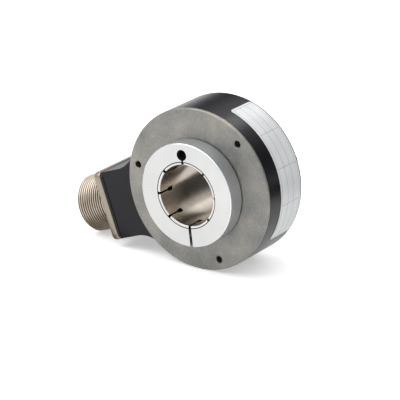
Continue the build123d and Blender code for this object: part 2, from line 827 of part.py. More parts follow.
def make_label():
    inner = housing_radius + label_gap
    outer = inner + label_thickness
    profile = make_face(Polyline((inner, label_front_y), (outer, label_front_y),
                                 (outer, label_front_y + label_height), (inner, label_front_y + label_height),
                                 close=True))
    return around(revolve(profile, Axis.Y, label_sweep), connector_angle + label_start_turn + label_sweep)


def make_code_disc():
    return ring(journal_radius + ring_fit, disc_radius, disc_front_y, disc_rear_y)


def make_disc_clamp():
    rear = disc_rear_y + disc_clamp_length
    outer = journal_radius + disc_clamp_height
    return turned([
        (journal_radius + ring_fit, disc_rear_y),
        (outer, disc_rear_y),
        (outer, rear - disc_clamp_chamfer),
        (outer - disc_clamp_chamfer, rear),
        (journal_radius + ring_fit, rear),
    ])


def make_outer_spacer():
    return ring(bearing_outer_radius - bearing_ring_thickness, bearing_outer_radius - ring_fit,
                spacer_y, rear_bearing_y)


def make_inner_spacer():
    return ring(journal_radius + ring_fit, journal_radius + bearing_ring_thickness, spacer_y, rear_bearing_y)


def make_hub_clip():
    outer = bearing_outer_radius + retaining_groove_depth
    return circlip(outer - retaining_ring_section, outer - seat_gap, shaft_shoulder_y,
                   retaining_ring_thickness, connector_angle)


def make_shaft_clip():
    inner = journal_radius - retaining_groove_depth
    front = front_bearing_y - retaining_ring_thickness
    return circlip(inner + seat_gap, inner + retaining_ring_section, front,
                   retaining_ring_thickness, connector_angle)


nodes = {
    "front_flange": make_front_flange(),
    "rear_housing": make_rear_housing(),
    "housing_o_ring": make_o_ring(),
    "cover_screws": make_cover_screws(),
    "rim_label": make_label(),
    "front_shaft_seal": make_seal(front_seal_y),
    "rear_shaft_seal": make_seal(rear_seal_front_y),
    "front_bearing_outer_ring": make_outer_ring(front_bearing_y),
    "rear_bearing_outer_ring": make_outer_ring(rear_bearing_y),
    "bearing_outer_spacer": make_outer_spacer(),
    "bearing_retaining_ring": make_hub_clip(),
    "sensor_board": make_sensor_board(),
    "sensor_board_screws": make_board_screws(),
    "photodetector_array": make_photodetector(),
    "scanning_mask": make_scanning_mask(),
    "light_source_holder": make_light_holder(),
    "light_emitter": make_light_emitter(),
    "board_components": make_board_components(),
    "board_header": make_board_header(),
    "flex_ribbon": make_flex_ribbon(),
    "connector_board": make_connector_board(),
    "connector_gasket": make_connector_gasket(),
    "connector_shell": make_connector_shell(),
    "connector_insert": make_connector_insert(),
    "connector_pins": make_connector_pins(),
    "connector_screws": make_connector_screws(),
    "hollow_shaft": make_hollow_shaft(),
    "clamp_ring": make_clamp_ring(),
    "clamp_screw": make_clamp_screw(),
    "front_bearing_inner_ring": make_inner_ring(front_bearing_y),
    "rear_bearing_inner_ring": make_inner_ring(rear_bearing_y),
    "bearing_inner_spacer": make_inner_spacer(),
    "shaft_retaining_ring": make_shaft_clip(),
    "code_disc": make_code_disc(),
    "code_disc_clamp": make_disc_clamp(),
    "front_bearing_balls": make_balls(front_bearing_y),
    "front_bearing_cage": make_cage(front_bearing_y),
    "rear_bearing_balls": make_balls(rear_bearing_y),
    "rear_bearing_cage": make_cage(rear_bearing_y),
}

for name, shape in nodes.items():
    export_step(shape, f"parts/{name}.step")

print(f"housing diameter {2 * housing_radius:.2f}, depth to rear face {housing_rear_y:.2f}")
print(f"connector at {connector_angle:.2f} degrees, y {connector_y:.2f}, flange {flange_inner:.2f} to "
      f"{flange_outer:.2f}, barrel end {barrel_end:.2f}")
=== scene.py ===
import bpy
import bmesh
import json
from math import atan2, cos, pi, radians, sin, sqrt
from mathutils import Matrix, Vector


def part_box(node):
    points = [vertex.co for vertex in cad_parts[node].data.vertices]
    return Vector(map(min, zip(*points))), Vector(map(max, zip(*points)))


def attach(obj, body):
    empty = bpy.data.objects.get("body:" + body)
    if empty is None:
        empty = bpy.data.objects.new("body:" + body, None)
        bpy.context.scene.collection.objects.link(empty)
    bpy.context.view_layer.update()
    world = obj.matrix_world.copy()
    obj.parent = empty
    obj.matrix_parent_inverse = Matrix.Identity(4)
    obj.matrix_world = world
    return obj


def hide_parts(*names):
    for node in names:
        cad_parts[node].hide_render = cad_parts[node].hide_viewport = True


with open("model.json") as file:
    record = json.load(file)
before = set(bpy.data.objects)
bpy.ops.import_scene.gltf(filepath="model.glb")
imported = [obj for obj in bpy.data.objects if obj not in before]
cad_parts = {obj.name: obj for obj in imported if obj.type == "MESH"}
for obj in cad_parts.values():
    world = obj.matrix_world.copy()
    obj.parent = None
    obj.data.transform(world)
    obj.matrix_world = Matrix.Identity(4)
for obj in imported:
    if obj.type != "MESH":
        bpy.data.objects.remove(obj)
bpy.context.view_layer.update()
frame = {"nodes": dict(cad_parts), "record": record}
mm = 0.001
scene = bpy.context.scene
mounts = {mount["name"]: mount for mount in frame["record"]["mounts"]}

# Places and sizes that several pieces share, read from the frame where it has them
threadMount = mounts["connector_thread"]
connectorAim = Vector(threadMount["axis"])
connectorAngle = atan2(connectorAim.z, connectorAim.x)
connectorY = threadMount["pos_m"][1]
threadRadius = threadMount["dims"]["r_mm"] * mm
threadLength = threadMount["dims"]["length_mm"] * mm
threadStart = Vector(threadMount["pos_m"]).dot(connectorAim) - threadLength / 2
boreRadius = mounts["shaft_bore"]["dims"]["r_mm"] * mm
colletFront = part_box("hollow_shaft")[0].y
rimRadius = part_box("front_flange")[1].z
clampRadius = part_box("clamp_ring")[1].z
splitTurn = radians(76.8)
splitAngle = connectorAngle + splitTurn
colletWall = 1.35 * mm
colletRadius = boreRadius + colletWall
colletBreak = 0.3 * mm
clampGap = 0.12 * mm
clampBore = colletRadius + clampGap
threadDepth = 0.75 * mm
floorZ = -rimRadius
overshoot = 1 * mm  # how far a cutter reaches past what it cuts
mergeDistance = 1e-7


# Small helpers

def aroundBore(angle):
    # turns a piece built on the +X side to an angle from +X towards +Z
    return Matrix.Rotation(-angle, 4, "Y")


def addObject(name, data):
    obj = bpy.data.objects.new(name, data)
    scene.collection.objects.link(obj)
    return obj


def meshFrom(name, points, faces):
    mesh = bpy.data.meshes.new(name)
    mesh.from_pydata([tuple(point) for point in points], [], faces)
    mesh.update()
    return mesh


def tidyMesh(mesh, sharpDegrees=35):
    # merges doubles, points the faces outwards and shades smooth up to an angle
    work = bmesh.new()
    work.from_mesh(mesh)
    bmesh.ops.remove_doubles(work, verts=work.verts, dist=mergeDistance)
    bmesh.ops.recalc_face_normals(work, faces=work.faces)
    work.to_mesh(mesh)
    work.free()
    mesh.polygons.foreach_set("use_smooth", [True] * len(mesh.polygons))
    mesh.set_sharp_from_angle(angle=radians(sharpDegrees))
    mesh.update()


def applyModifiers(obj):
    graph = bpy.context.evaluated_depsgraph_get()
    mesh = bpy.data.meshes.new_from_object(obj.evaluated_get(graph))
    obj.modifiers.clear()
    old = obj.data
    obj.data = mesh
    mesh.name = obj.name
    if old.users == 0:
        bpy.data.meshes.remove(old)


def cutWith(obj, cutters):
    for cutter in cutters:
        step = obj.modifiers.new("cut", "BOOLEAN")
        step.operation = "DIFFERENCE"
        step.solver = "EXACT"
        step.object = cutter
    applyModifiers(obj)
    for cutter in cutters:
        bpy.data.objects.remove(cutter)


def latheMesh(name, profile, segments):
    # a closed outline of (radius, distance) turned about X
    points = []
    faces = []
    count = len(profile)
    for turn in range(segments):
        angle = 2 * pi * turn / segments
        for radius, distance in profile:
            points.append((distance, radius * cos(angle), radius * sin(angle)))
    for turn in range(segments):
        after = (turn + 1) % segments
        for step in range(count):
            following = (step + 1) % count
            faces.append((turn * count + step, turn * count + following,
                          after * count + following, after * count + step))
    return meshFrom(name, points, faces)


def giveMaterial(obj, material):
    obj.data.materials.clear()
    obj.data.materials.append(material)


# Geometry node trees

def nodeTree(name, inputs):
    # inputs are (name, socket type, default)
    tree = bpy.data.node_groups.new(name, "GeometryNodeTree")
    tree.interface.new_socket("Geometry", in_out="INPUT", socket_type="NodeSocketGeometry")
    for label, kind, default in inputs:
        socket = tree.interface.new_socket(label, in_out="INPUT", socket_type=kind)
        if default is not None:
            socket.default_value = default
    tree.interface.new_socket("Geometry", in_out="OUTPUT", socket_type="NodeSocketGeometry")
    given = tree.nodes.new("NodeGroupInput").outputs
    return tree, given, tree.nodes.new("NodeGroupOutput")


def mathNode(tree, operation, *values):
    node = tree.nodes.new("ShaderNodeMath")
    node.operation = operation
    for socket, value in zip(node.inputs, values):
        if isinstance(value, (int, float)):
            socket.default_value = value
        else:
            tree.links.new(value, socket)
    return node.outputs[0]


def splitVector(tree, vector):
    node = tree.nodes.new("ShaderNodeSeparateXYZ")
    tree.links.new(vector, node.inputs[0])
    return node.outputs


def joinVector(tree, **parts):
    node = tree.nodes.new("ShaderNodeCombineXYZ")
    for axis, value in parts.items():
        tree.links.new(value, node.inputs[axis])
    return node.outputs[0]


def runTree(obj, tree, values):
    # sets each input by its socket's identifier, then makes the result a plain mesh
    step = obj.modifiers.new(tree.name, "NODES")
    step.node_group = tree
    for item in tree.interface.items_tree:
        if item.item_type == "SOCKET" and item.in_out == "INPUT" and item.name in values:
            step[item.identifier] = values[item.name]
    applyModifiers(obj)


def finishTree(tree, geometry, material, leave):
    # real geometry with its material, because instances don't leave the scene
    realize = tree.nodes.new("GeometryNodeRealizeInstances")
    paint = tree.nodes.new("GeometryNodeSetMaterial")
    tree.links.new(geometry, realize.inputs[0])
    tree.links.new(realize.outputs[0], paint.inputs["Geometry"])
    tree.links.new(material, paint.inputs["Material"])
    tree.links.new(paint.outputs[0], leave.inputs[0])


def threadTree():
    # presses a screw thread into the wall of a barrel that lies along X
    tree, given, leave = nodeTree("cutScrewThread", [
        ("Pitch", "NodeSocketFloat", 1 * mm),
        ("Depth", "NodeSocketFloat", 0.5 * mm),
        ("Axis Height", "NodeSocketFloat", 0.0),
        ("Flat Crest", "NodeSocketFloat", 0.25),
        ("Material", "NodeSocketMaterial", None),
    ])
    link = tree.links.new
    split = splitVector(tree, tree.nodes.new("GeometryNodeInputPosition").outputs[0])
    fromAxis = mathNode(tree, "SUBTRACT", split["Y"], given["Axis Height"])
    angle = mathNode(tree, "ARCTAN2", split["Z"], fromAxis)
    turnPart = mathNode(tree, "DIVIDE", angle, 2 * pi)
    alongPart = mathNode(tree, "DIVIDE", split["X"], given["Pitch"])
    phase = mathNode(tree, "FRACT", mathNode(tree, "ADD", alongPart, turnPart))
    wave = mathNode(tree, "MULTIPLY", mathNode(tree, "PINGPONG", phase, 0.5), 2.0)
    raised = mathNode(tree, "SUBTRACT", wave, given["Flat Crest"])
    scale = mathNode(tree, "SUBTRACT", 1.0, given["Flat Crest"])
    groove = mathNode(tree, "MAXIMUM", mathNode(tree, "DIVIDE", raised, scale), 0.0)
    mask = tree.nodes.new("GeometryNodeInputNamedAttribute")
    mask.data_type = "FLOAT"
    mask.inputs["Name"].default_value = "threadMask"
    depth = mathNode(tree, "MULTIPLY", mathNode(tree, "MULTIPLY", groove, mask.outputs["Attribute"]),
                     given["Depth"])
    inward = joinVector(tree, Y=mathNode(tree, "MULTIPLY", mathNode(tree, "COSINE", angle), -1.0),
                        Z=mathNode(tree, "MULTIPLY", mathNode(tree, "SINE", angle), -1.0))
    offset = tree.nodes.new("ShaderNodeVectorMath")
    offset.operation = "SCALE"
    link(inward, offset.inputs[0])
    link(depth, offset.inputs["Scale"])
    move = tree.nodes.new("GeometryNodeSetPosition")
    link(given["Geometry"], move.inputs["Geometry"])
    link(offset.outputs[0], move.inputs["Offset"])
    finishTree(tree, move.outputs[0], given["Material"], leave)
    return tree


def copiesTree():
    # one copy of a piece at each point of the carrier
    tree, given, leave = nodeTree("copyOntoPoints", [
        ("Piece", "NodeSocketObject", None),
        ("Material", "NodeSocketMaterial", None),
    ])
    link = tree.links.new
    source = tree.nodes.new("GeometryNodeObjectInfo")
    link(given["Piece"], source.inputs["Object"])
    points = tree.nodes.new("GeometryNodeMeshToPoints")
    link(given["Geometry"], points.inputs["Mesh"])
    copies = tree.nodes.new("GeometryNodeInstanceOnPoints")
    link(points.outputs[0], copies.inputs["Points"])
    link(source.outputs["Geometry"], copies.inputs["Instance"])
    finishTree(tree, copies.outputs[0], given["Material"], leave)
    return tree


def aroundAxisTree():
    # copies of a piece built on the +X side, turned about Y in equal steps
    tree, given, leave = nodeTree("copyAroundAxis", [
        ("Piece", "NodeSocketObject", None),
        ("Count", "NodeSocketInt", 8),
        ("First", "NodeSocketFloat", 0.0),
        ("Step", "NodeSocketFloat", pi / 4),
        ("Material", "NodeSocketMaterial", None),
    ])
    link = tree.links.new
    source = tree.nodes.new("GeometryNodeObjectInfo")
    link(given["Piece"], source.inputs["Object"])
    line = tree.nodes.new("GeometryNodeMeshLine")
    link(given["Count"], line.inputs["Count"])
    line.inputs["Offset"].default_value = (0, 0, 0)
    index = tree.nodes.new("GeometryNodeInputIndex")
    angle = mathNode(tree, "ADD", given["First"],
                     mathNode(tree, "MULTIPLY", index.outputs[0], given["Step"]))
    euler = tree.nodes.new("FunctionNodeEulerToRotation")
    link(joinVector(tree, Y=mathNode(tree, "MULTIPLY", angle, -1.0)), euler.inputs[0])
    copies = tree.nodes.new("GeometryNodeInstanceOnPoints")
    link(line.outputs[0], copies.inputs["Points"])
    link(source.outputs["Geometry"], copies.inputs["Instance"])
    link(euler.outputs[0], copies.inputs["Rotation"])
    finishTree(tree, copies.outputs[0], given["Material"], leave)
    return tree


# Shader node groups, shared by the materials

def shaderGroup(name, inputs, outputs):
    group = bpy.data.node_groups.new(name, "ShaderNodeTree")
    for label, kind, default in inputs:
        socket = group.interface.new_socket(label, in_out="INPUT", socket_type=kind)
        if default is not None:
            socket.default_value = default
    for label, kind in outputs:
        group.interface.new_socket(label, in_out="OUTPUT", socket_type=kind)
    given = group.nodes.new("NodeGroupInput").outputs
    return group, given, group.nodes.new("NodeGroupOutput")


def radiusFrom(group, split):
    # distance from the Y axis
    squares = mathNode(group, "ADD", mathNode(group, "MULTIPLY", split["X"], split["X"]),
                       mathNode(group, "MULTIPLY", split["Z"], split["Z"]))
    return mathNode(group, "SQRT", squares)


def makeRingZone():
    # 1 between two radii and two distances along Y, soft over a short edge, otherwise 0
    group, given, leave = shaderGroup(
        "ringZone",
        [("Vector", "NodeSocketVector", None), ("Inner", "NodeSocketFloat", 0.0),
         ("Outer", "NodeSocketFloat", 1.0), ("Front", "NodeSocketFloat", -1.0),
         ("Rear", "NodeSocketFloat", 1.0), ("Edge", "NodeSocketFloat", 0.05 * mm)],
        [("Fac", "NodeSocketFloat")])
    split = splitVector(group, given["Vector"])
    radius = radiusFrom(group, split)
    steps = []
    along = split["Y"]
    for higher, lower in ((radius, given["Inner"]), (given["Outer"], radius),
                          (along, given["Front"]), (given["Rear"], along)):
        share = mathNode(group, "DIVIDE", mathNode(group, "SUBTRACT", higher, lower), given["Edge"])
        steps.append(mathNode(group, "MINIMUM", mathNode(group, "MAXIMUM", share, 0.0), 1.0))
    both = mathNode(group, "MULTIPLY", mathNode(group, "MULTIPLY", steps[0], steps[1]),
                    mathNode(group, "MULTIPLY", steps[2], steps[3]))
    group.links.new(both, leave.inputs["Fac"])
    return group


def makeTurnedLines():
    # fine rings left by a lathe tool about Y, on faces and on cylinders alike
    group, given, leave = shaderGroup(
        "turnedLines",
        [("Vector", "NodeSocketVector", None), ("Rings", "NodeSocketFloat", 4000.0),
         ("Waver", "NodeSocketFloat", 0.2)],
        [("Height", "NodeSocketFloat")])
    link = group.links.new
    split = splitVector(group, given["Vector"])
    radius = radiusFrom(group, split)
    angle = mathNode(group, "ARCTAN2", split["Z"], split["X"])
    joined = joinVector(group, X=mathNode(group, "MULTIPLY", radius, given["Rings"]),
                        Y=mathNode(group, "MULTIPLY", split["Y"], given["Rings"]),
                        Z=mathNode(group, "MULTIPLY", mathNode(group, "SINE", angle), given["Waver"]))
    noise = group.nodes.new("ShaderNodeTexNoise")
    noise.inputs["Scale"].default_value = 1.0
    noise.inputs["Detail"].default_value = 2.0
    link(joined, noise.inputs["Vector"])
    link(noise.outputs[0], leave.inputs["Height"])
    return group


def makeClouding():
    # soft patches, from 0 to 1
    group, given, leave = shaderGroup(
        "softClouding",
        [("Vector", "NodeSocketVector", None), ("Scale", "NodeSocketFloat", 60.0),
         ("Low", "NodeSocketFloat", 0.35), ("High", "NodeSocketFloat", 0.65)],
        [("Fac", "NodeSocketFloat")])
    link = group.links.new
    noise = group.nodes.new("ShaderNodeTexNoise")
    noise.inputs["Detail"].default_value = 5.0
    noise.inputs["Roughness"].default_value = 0.55
    link(given["Vector"], noise.inputs["Vector"])
    link(given["Scale"], noise.inputs["Scale"])
    spread = group.nodes.new("ShaderNodeMapRange")
    link(noise.outputs[0], spread.inputs["Value"])
    link(given["Low"], spread.inputs["From Min"])
    link(given["High"], spread.inputs["From Max"])
    link(spread.outputs[0], leave.inputs["Fac"])
    return group


def makeFineGrain():
    # the pebbled skin of a powder coat or a moulding
    group, given, leave = shaderGroup(
        "fineGrain",
        [("Vector", "NodeSocketVector", None), ("Scale", "NodeSocketFloat", 2500.0)],
        [("Height", "NodeSocketFloat")])
    link = group.links.new
    noise = group.nodes.new("ShaderNodeTexNoise")
    noise.inputs["Detail"].default_value = 3.0
    link(given["Vector"], noise.inputs["Vector"])
    link(given["Scale"], noise.inputs["Scale"])
    link(noise.outputs[0], leave.inputs["Height"])
    return group


turnedLines = makeTurnedLines()
ringZone = makeRingZone()
softClouding = makeClouding()
fineGrain = makeFineGrain()


# Materials

def startMaterial(name, turn=(0, 0, 0), shift=(0, 0, 0)):
    material = bpy.data.materials.new(name)
    material.use_nodes = True
    nodes = material.node_tree.nodes
    shader = nodes["Principled BSDF"]
    coordinates = nodes.new("ShaderNodeTexCoord")
    mapping = nodes.new("ShaderNodeMapping")
    mapping.inputs["Rotation"].default_value = turn
    mapping.inputs["Location"].default_value = shift
    material.node_tree.links.new(coordinates.outputs["Object"], mapping.inputs["Vector"])
    return material, shader, mapping.outputs[0]


def placeGroup(material, group, vector, **values):
    node = material.node_tree.nodes.new("ShaderNodeGroup")
    node.node_tree = group
    material.node_tree.links.new(vector, node.inputs["Vector"])
    for label, value in values.items():
        node.inputs[label].default_value = value
    return node.outputs[0]


def mixColours(material, fac, first, second):
    # a mix node takes its colours at inputs 6 and 7 and gives the result at output 2
    node = material.node_tree.nodes.new("ShaderNodeMix")
    node.data_type = "RGBA"
    for socket, value in ((node.inputs[6], first), (node.inputs[7], second)):
        if isinstance(value, tuple):
            socket.default_value = (*value, 1.0)
        else:
            material.node_tree.links.new(value, socket)
    material.node_tree.links.new(fac, node.inputs[0])
    return node.outputs[2]


def spreadValue(material, value, low, high):
    node = material.node_tree.nodes.new("ShaderNodeMapRange")
    node.inputs["To Min"].default_value = low
    node.inputs["To Max"].default_value = high
    material.node_tree.links.new(value, node.inputs["Value"])
    return node.outputs[0]


def addBump(material, shader, height, strength, distance):
    node = material.node_tree.nodes.new("ShaderNodeBump")
    node.inputs["Strength"].default_value = strength
    node.inputs["Distance"].default_value = distance
    material.node_tree.links.new(height, node.inputs["Height"])
    material.node_tree.links.new(node.outputs[0], shader.inputs["Normal"])


toolMarkHeight = 0.02 * mm
grainHeight = 0.03 * mm


def turnedMetal(name, look):
    # patches of two tones under fine tool marks, with painted light and painted shade laid on in places
    # where the look lists them
    noTurn = (0, 0, 0)
    material, shader, vector = startMaterial(name, look.get("turn", noTurn), look.get("shift", noTurn))
    link = material.node_tree.links.new
    patches = placeGroup(material, softClouding, vector, Scale=look["patchScale"])
    rings = placeGroup(material, turnedLines, vector, Rings=look["rings"])
    colour = mixColours(material, patches, look["dark"], look["light"])
    if "speckle" in look:
        speckle = look["speckle"]
        fine = placeGroup(material, softClouding, vector, Scale=speckle["scale"],
                          Low=speckle["from"], High=speckle["to"])
        share = mathNode(material.node_tree, "MULTIPLY", fine, speckle["share"])
        colour = mixColours(material, share, colour, speckle["colour"])
    roughness = spreadValue(material, rings, *look["roughness"])
    # here a zone's colour is painted light where it is lighter than the metal and painted shade where it is
    # darker
    for zone in look.get("paintedZones", ()):
        shade = placeGroup(material, ringZone, vector, **zone["place"])
        colour = mixColours(material, shade, colour, zone["colour"])
        if "rougher" in zone:
            more = mathNode(material.node_tree, "MULTIPLY", shade, zone["rougher"])
            roughness = mathNode(material.node_tree, "ADD", roughness, more)
    link(colour, shader.inputs["Base Color"])
    link(roughness, shader.inputs["Roughness"])
    shader.inputs["Metallic"].default_value = look["metallic"]
    addBump(material, shader, rings, look["bump"], toolMarkHeight)
    return material


def mouldedSurface(name, look):
    # a coat or a moulding: faint patches under a pebbled skin
    material, shader, vector = startMaterial(name)
    link = material.node_tree.links.new
    patches = placeGroup(material, softClouding, vector, Scale=look["patchScale"])
    grain = placeGroup(material, fineGrain, vector, Scale=look["grainScale"])
    link(mixColours(material, patches, look["dark"], look["light"]), shader.inputs["Base Color"])
    link(spreadValue(material, grain, *look["roughness"]), shader.inputs["Roughness"])
    shader.inputs["Specular IOR Level"].default_value = look.get("specular", 0.5)
    addBump(material, shader, grain, look["bump"], grainHeight)
    return material


def clearPart(name, look):
    # glass or clear plastic
    material, shader, vector = startMaterial(name)
    patches = placeGroup(material, softClouding, vector, Scale=look["patchScale"])
    material.node_tree.links.new(mixColours(material, patches, look["dark"], look["light"]),
                                 shader.inputs["Base Color"])
    shader.inputs["Roughness"].default_value = look["roughness"]
    shader.inputs["Transmission Weight"].default_value = look["clear"]
    return material


connectorTurn = (0, connectorAngle, pi / 2)  # turns a pattern so that the connector's axis becomes its Y
connectorShift = (connectorY, 0, 0)
# how far the painted light and painted shade reach on turned pieces
zoneSizes = {
    "softEdge": 0.1 * mm,
    "ringSide": 0.35 * mm,
    "ringBore": 0.06 * mm,
    "colletFace": 0.04 * mm,
    "slotWall": 0.05 * mm,
    "slotReach": 3 * mm,
    "slotFront": 0.02 * mm,
    "slotRear": 2 * mm,
    "threadCrest": 0.05 * mm,
    "threadEdge": 0.54 * mm,
    "threadFloor": 1.5 * mm,
    "pastBarrel": 0.02 * mm,
}
# near black for the collet's slots, painted shade
paintedSlotShade = (0.008, 0.008, 0.008)
flangeMetal = turnedMetal("flangeMetal", {
    "dark": (0.178, 0.18, 0.172), "light": (0.27, 0.256, 0.232), "metallic": 0.9,
    "roughness": (0.4, 0.52), "rings": 1500.0, "patchScale": 70.0, "bump": 0.12,
    "speckle": {"scale": 700.0, "from": 0.5, "to": 0.8, "share": 0.4, "colour": (0.42, 0.4, 0.36)}})
ringMetal = turnedMetal("ringMetal", {
    "dark": (0.5, 0.505, 0.5), "light": (0.545, 0.545, 0.535), "metallic": 1.0,
    "roughness": (0.17, 0.27), "rings": 2500.0, "patchScale": 60.0, "bump": 0.06,
    "paintedZones": [
        # the ring's side: a lighter, bluer copy of its metal, painted light, and a little rougher
        {"place": {"Inner": clampRadius - zoneSizes["ringSide"], "Edge": zoneSizes["softEdge"]},
         "colour": (0.68, 0.71, 0.74), "rougher": 0.1},
        # the ring's bore and the inner edge of its face: near black, painted shade in the gap about the
        # collet
        {"place": {"Outer": clampBore + zoneSizes["ringBore"]}, "colour": (0.01, 0.01, 0.01)}]})
shaftMetal = turnedMetal("shaftMetal", {
    "dark": (0.43, 0.38, 0.325), "light": (0.5, 0.455, 0.395), "metallic": 1.0,
    "roughness": (0.2, 0.28), "rings": 3000.0, "patchScale": 80.0, "bump": 0.02,
    "paintedZones": [
        # the collet's front face: lighter than the rest of the shaft, painted light
        {"place": {"Rear": colletFront + colletBreak + zoneSizes["colletFace"]},
         "colour": (0.58, 0.57, 0.56)},
        # the walls of the collet's slots: near black, painted shade
        {"place": {"Inner": boreRadius + zoneSizes["slotWall"],
                   "Outer": boreRadius + zoneSizes["slotReach"],
                   "Front": colletFront + colletBreak + zoneSizes["slotFront"],
                   "Rear": zoneSizes["slotRear"]},
         "colour": paintedSlotShade},
        {"place": {"Inner": boreRadius + colletBreak, "Outer": boreRadius + zoneSizes["slotReach"],
                   "Front": colletFront + zoneSizes["slotFront"], "Rear": 0.0}, "colour": paintedSlotShade}]})
connectorMetal = turnedMetal("connectorMetal", {
    "dark": (0.48, 0.41, 0.33), "light": (0.62, 0.545, 0.455), "metallic": 1.0,
    "roughness": (0.26, 0.36), "rings": 2000.0, "patchScale": 90.0, "bump": 0.03,
    "turn": connectorTurn, "shift": connectorShift,
    "paintedZones": [
        # the thread's grooves, with the barrel's mouth and bore inside them: near black, painted shade
        {"place": {"Inner": threadRadius - zoneSizes["threadFloor"],
                   "Outer": threadRadius - zoneSizes["threadCrest"],
                   "Front": threadStart, "Rear": threadStart + threadLength + threadDepth,
                   "Edge": zoneSizes["threadEdge"]},
         "colour": (0.022, 0.013, 0.008)},
        # the flange plate: a darker copy of the barrel's metal, painted shade
        {"place": {"Inner": threadRadius + zoneSizes["pastBarrel"], "Edge": zoneSizes["softEdge"]},
         "colour": (0.285, 0.25, 0.21)}]})
steelMetal = turnedMetal("steelMetal", {
    "dark": (0.42, 0.42, 0.42), "light": (0.55, 0.55, 0.55), "metallic": 1.0,
    "roughness": (0.2, 0.35), "rings": 3500.0, "patchScale": 120.0, "bump": 0.08})
springMetal = turnedMetal("springMetal", {
    "dark": (0.05, 0.05, 0.055), "light": (0.09, 0.09, 0.095), "metallic": 1.0,
    "roughness": (0.3, 0.45), "rings": 2500.0, "patchScale": 100.0, "bump": 0.08})
goldContact = turnedMetal("goldContact", {
    "dark": (0.65, 0.48, 0.18), "light": (0.8, 0.62, 0.26), "metallic": 1.0,
    "roughness": (0.18, 0.28), "rings": 3500.0, "patchScale": 200.0, "bump": 0.05,
    "turn": connectorTurn, "shift": connectorShift})
housingBlack = mouldedSurface("housingBlack", {
    "dark": (0.0042, 0.004, 0.0062), "light": (0.0065, 0.0062, 0.0095), "specular": 0.24,
    "roughness": (0.24, 0.34), "grainScale": 1800.0, "patchScale": 50.0, "bump": 0.15})
gasketRubber = mouldedSurface("gasketRubber", {
    "dark": (0.014, 0.014, 0.015), "light": (0.02, 0.02, 0.021),
    "roughness": (0.6, 0.7), "grainScale": 2500.0, "patchScale": 120.0, "bump": 0.2})
sealRubber = mouldedSurface("sealRubber", {
    "dark": (0.012, 0.012, 0.012), "light": (0.02, 0.02, 0.02),
    "roughness": (0.6, 0.75), "grainScale": 2500.0, "patchScale": 120.0, "bump": 0.3})
insertRubber = mouldedSurface("insertRubber", {
    "dark": (0.03, 0.026, 0.024), "light": (0.045, 0.038, 0.034),
    "roughness": (0.5, 0.65), "grainScale": 2500.0, "patchScale": 150.0, "bump": 0.3})
boardGreen = mouldedSurface("boardGreen", {
    "dark": (0.01, 0.09, 0.035), "light": (0.015, 0.14, 0.05),
    "roughness": (0.3, 0.4), "grainScale": 1500.0, "patchScale": 90.0, "bump": 0.15})
chipBlack = mouldedSurface("chipBlack", {
    "dark": (0.012, 0.012, 0.013), "light": (0.025, 0.025, 0.026),
    "roughness": (0.45, 0.6), "grainScale": 3500.0, "patchScale": 200.0, "bump": 0.3})
holderPlastic = mouldedSurface("holderPlastic", {
    "dark": (0.03, 0.03, 0.03), "light": (0.05, 0.05, 0.05),
    "roughness": (0.4, 0.55), "grainScale": 2500.0, "patchScale": 150.0, "bump": 0.2})
cagePlastic = mouldedSurface("cagePlastic", {
    "dark": (0.42, 0.38, 0.26), "light": (0.55, 0.5, 0.36),
    "roughness": (0.4, 0.5), "grainScale": 2500.0, "patchScale": 120.0, "bump": 0.2})
ribbonFilm = mouldedSurface("ribbonFilm", {
    "dark": (0.4, 0.17, 0.03), "light": (0.55, 0.26, 0.05),
    "roughness": (0.2, 0.3), "grainScale": 1500.0, "patchScale": 100.0, "bump": 0.1})
opticalGlass = clearPart("opticalGlass", {
    "dark": (0.8, 0.86, 0.86), "light": (0.9, 0.93, 0.93),
    "roughness": 0.05, "clear": 0.85, "patchScale": 200.0})
lampLens = clearPart("lampLens", {
    "dark": (0.75, 0.78, 0.82), "light": (0.85, 0.87, 0.9),
    "roughness": 0.1, "clear": 0.6, "patchScale": 300.0})
print("materials made")

nodeMaterials = {
    "front_flange": flangeMetal, "rear_housing": housingBlack, "housing_o_ring": sealRubber,
    "cover_screws": steelMetal, "front_shaft_seal": sealRubber, "rear_shaft_seal": sealRubber,
    "front_bearing_outer_ring": steelMetal, "rear_bearing_outer_ring": steelMetal,
    "bearing_outer_spacer": steelMetal, "bearing_retaining_ring": springMetal, "sensor_board": boardGreen,
    "sensor_board_screws": steelMetal, "photodetector_array": chipBlack, "scanning_mask": opticalGlass,
    "light_source_holder": holderPlastic, "light_emitter": lampLens, "board_components": chipBlack,
    "board_header": holderPlastic, "flex_ribbon": ribbonFilm, "connector_board": boardGreen,
    "connector_gasket": gasketRubber, "connector_shell": connectorMetal, "connector_insert": insertRubber,
    "connector_pins": goldContact, "connector_screws": steelMetal, "hollow_shaft": shaftMetal,
    "clamp_ring": ringMetal, "clamp_screw": steelMetal, "front_bearing_inner_ring": steelMetal,
    "rear_bearing_inner_ring": steelMetal, "bearing_inner_spacer": steelMetal,
    "shaft_retaining_ring": springMetal, "code_disc": opticalGlass, "code_disc_clamp": steelMetal,
    "front_bearing_balls": steelMetal, "front_bearing_cage": cagePlastic,
    "rear_bearing_balls": steelMetal, "rear_bearing_cage": cagePlastic,
}
for nodeName, nodeMaterial in nodeMaterials.items():
    giveMaterial(frame["nodes"][nodeName], nodeMaterial)


# Hollow shaft, its collet's slots opened at the mouth and squared at the foot

colletSizes = {
    "slots": 8,
    "slotWidth": 0.86 * mm,
    "slotDepth": 10.05 * mm,
    "mouthWidth": 1.3 * mm,
    "mouthDepth": 0.9 * mm,
    "footWidth": 2.0 * mm,
    "footLength": 3.4 * mm,
    "reach": 2 * mm,
    "boreMargin": 0.02 * mm,
}


